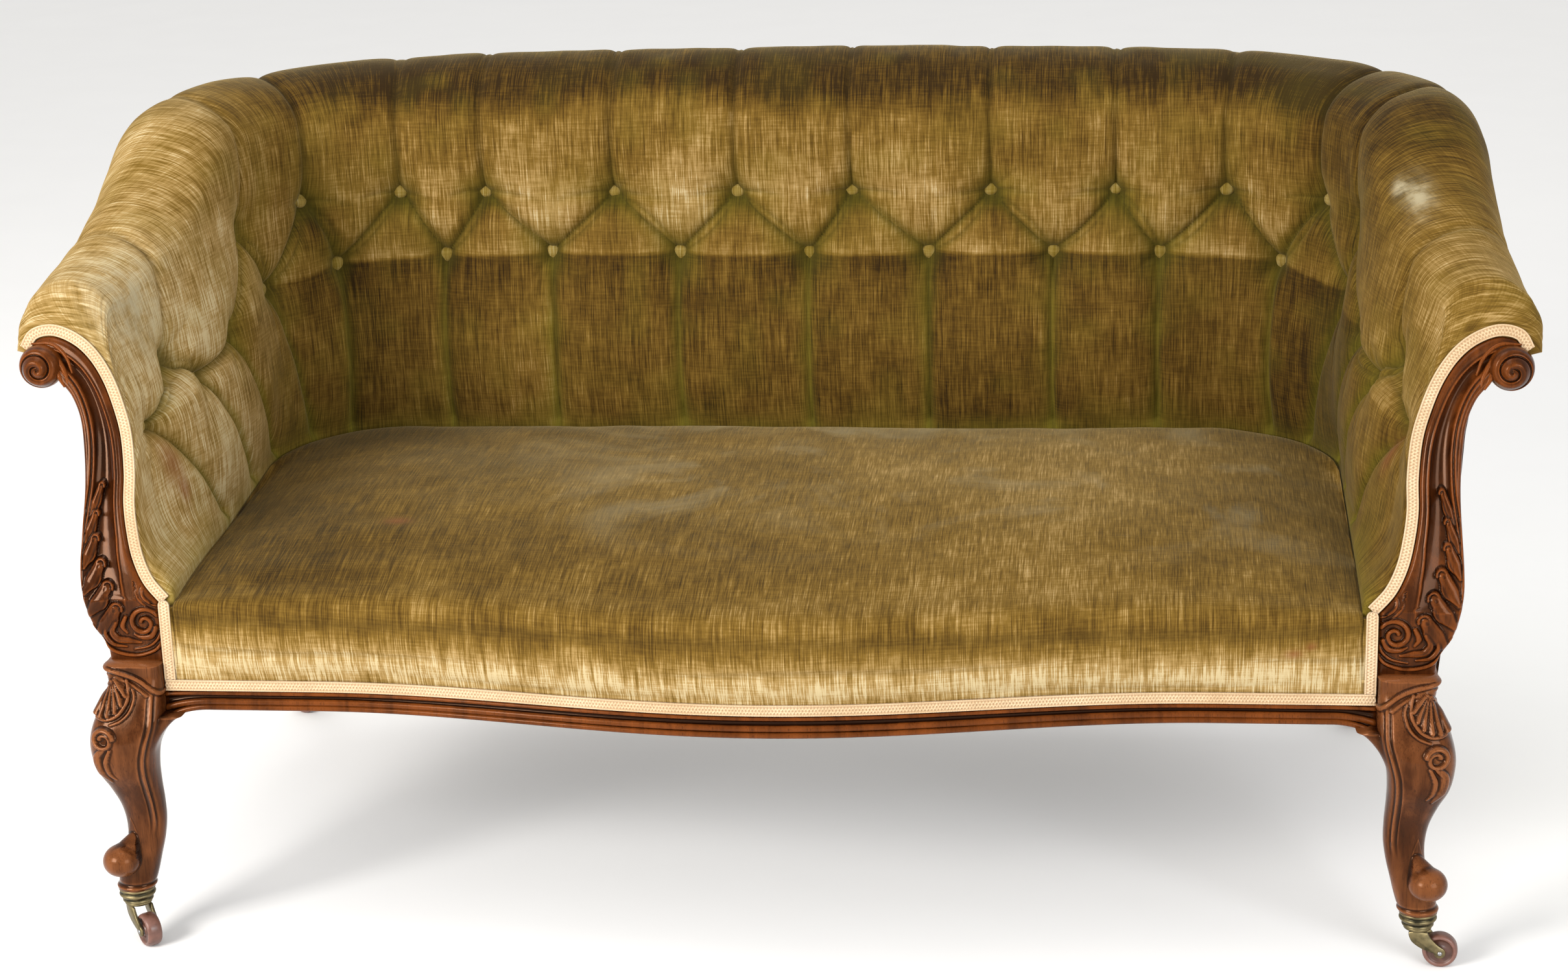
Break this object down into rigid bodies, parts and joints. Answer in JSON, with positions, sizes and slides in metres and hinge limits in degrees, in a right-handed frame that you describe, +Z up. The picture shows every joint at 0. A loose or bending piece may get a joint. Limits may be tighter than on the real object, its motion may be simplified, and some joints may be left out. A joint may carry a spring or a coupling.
{
  "type": "cabriole sofa",
  "caption": "Button-back sofa with a show-wood front: serpentine rail, cabriole legs, S-shaped arm facings with ball scrolls, sprung seat and swivel castors.",
  "frame": {"origin": "on the floor, under the centre of the sofa's bounding box", "axes": "+X along the width, to the right as seen from the front; +Y towards the back; +Z up"},
  "size_m": [1.6366, 0.8006, 0.8622],
  "materials": {
    "walnut": "french polished",
    "beech": "sawn",
    "velvet": "cut pile with a fine stripe",
    "pale_cloth": "plain woven",
    "jute": "coarse woven",
    "black_calico": "plain woven",
    "braid": "woven gimp",
    "castor_brass": "dark patina",
    "castor_steel": "dull",
    "castor_wheel": "brown glaze"
  },
  "bodies": {
    "sofa": {"front_rail": "walnut", "right_front_leg": "walnut", "left_front_leg": "walnut", "right_arm_facing": "walnut", "left_arm_facing": "walnut", "right_rear_leg": "walnut", "left_rear_leg": "walnut", "back_seat_rail": "beech", "right_side_seat_rail": "beech", "left_side_seat_rail": "beech", "back_top_rail": "beech", "right_arm_rail": "beech", "left_arm_rail": "beech", "back_stuffing_rail": "beech", "right_arm_stuffing_rail": "beech", "left_arm_stuffing_rail": "beech", "back_centre_post": "beech", "right_rear_corner_block": "beech", "left_rear_corner_block": "beech", "right_front_corner_block": "beech", "left_front_corner_block": "beech", "seat_webbing_and_springs": "jute", "seat_hessian": "jute", "dust_cover": "black_calico", "back_hessian": "jute", "right_arm_hessian": "jute", "left_arm_hessian": "jute", "seat_pad": "velvet", "back_pad": "velvet", "right_arm_pad": "velvet", "left_arm_pad": "velvet", "outside_back_cover": "pale_cloth", "right_outside_arm_cover": "pale_cloth", "left_outside_arm_cover": "pale_cloth", "seat_front_gimp": "braid", "right_arm_gimp": "braid", "left_arm_gimp": "braid", "front_left_castor_collar": "castor_brass", "front_right_castor_collar": "castor_brass", "rear_left_castor_collar": "castor_brass", "rear_right_castor_collar": "castor_brass"},
    "front_left_horn": {"front_left_castor_horn": "castor_brass", "front_left_castor_axle": "castor_steel"},
    "front_left_wheel": {"front_left_castor_wheel": "castor_wheel"},
    "front_right_horn": {"front_right_castor_horn": "castor_brass", "front_right_castor_axle": "castor_steel"},
    "front_right_wheel": {"front_right_castor_wheel": "castor_wheel"},
    "rear_left_horn": {"rear_left_castor_horn": "castor_brass", "rear_left_castor_axle": "castor_steel"},
    "rear_left_wheel": {"rear_left_castor_wheel": "castor_wheel"},
    "rear_right_horn": {"rear_right_castor_horn": "castor_brass", "rear_right_castor_axle": "castor_steel"},
    "rear_right_wheel": {"rear_right_castor_wheel": "castor_wheel"}
  },
  "joints": [
    {"name": "front_left_swivel", "type": "hinge", "parent": "sofa", "child": "front_left_horn", "pos_m": [-0.6955, -0.34298, 0.05], "axis": [0, 0, 1], "continuous": true},
    {"name": "front_left_roll", "type": "hinge", "parent": "front_left_horn", "child": "front_left_wheel", "pos_m": [-0.68007, -0.36137, 0.01863], "axis": [0.766, 0.6428, 0], "continuous": true},
    {"name": "front_right_swivel", "type": "hinge", "parent": "sofa", "child": "front_right_horn", "pos_m": [0.6955, -0.34298, 0.05], "axis": [0, 0, 1], "continuous": true},
    {"name": "front_right_roll", "type": "hinge", "parent": "front_right_horn", "child": "front_right_wheel", "pos_m": [0.71941, -0.34507, 0.01863], "axis": [0.0872, 0.9962, 0], "continuous": true},
    {"name": "rear_left_swivel", "type": "hinge", "parent": "sofa", "child": "rear_left_horn", "pos_m": [-0.65231, 0.30988, 0.05], "axis": [0, 0, 1], "continuous": true},
    {"name": "rear_left_roll", "type": "hinge", "parent": "rear_left_horn", "child": "rear_left_wheel", "pos_m": [-0.67486, 0.31809, 0.01863], "axis": [-0.342, -0.9397, 0], "continuous": true},
    {"name": "rear_right_swivel", "type": "hinge", "parent": "sofa", "child": "rear_right_horn", "pos_m": [0.65231, 0.30988, 0.05], "axis": [0, 0, 1], "continuous": true},
    {"name": "rear_right_roll", "type": "hinge", "parent": "rear_right_horn", "child": "rear_right_wheel", "pos_m": [0.67406, 0.32003, 0.01863], "axis": [-0.4226, 0.9063, 0], "continuous": true}
  ]
}
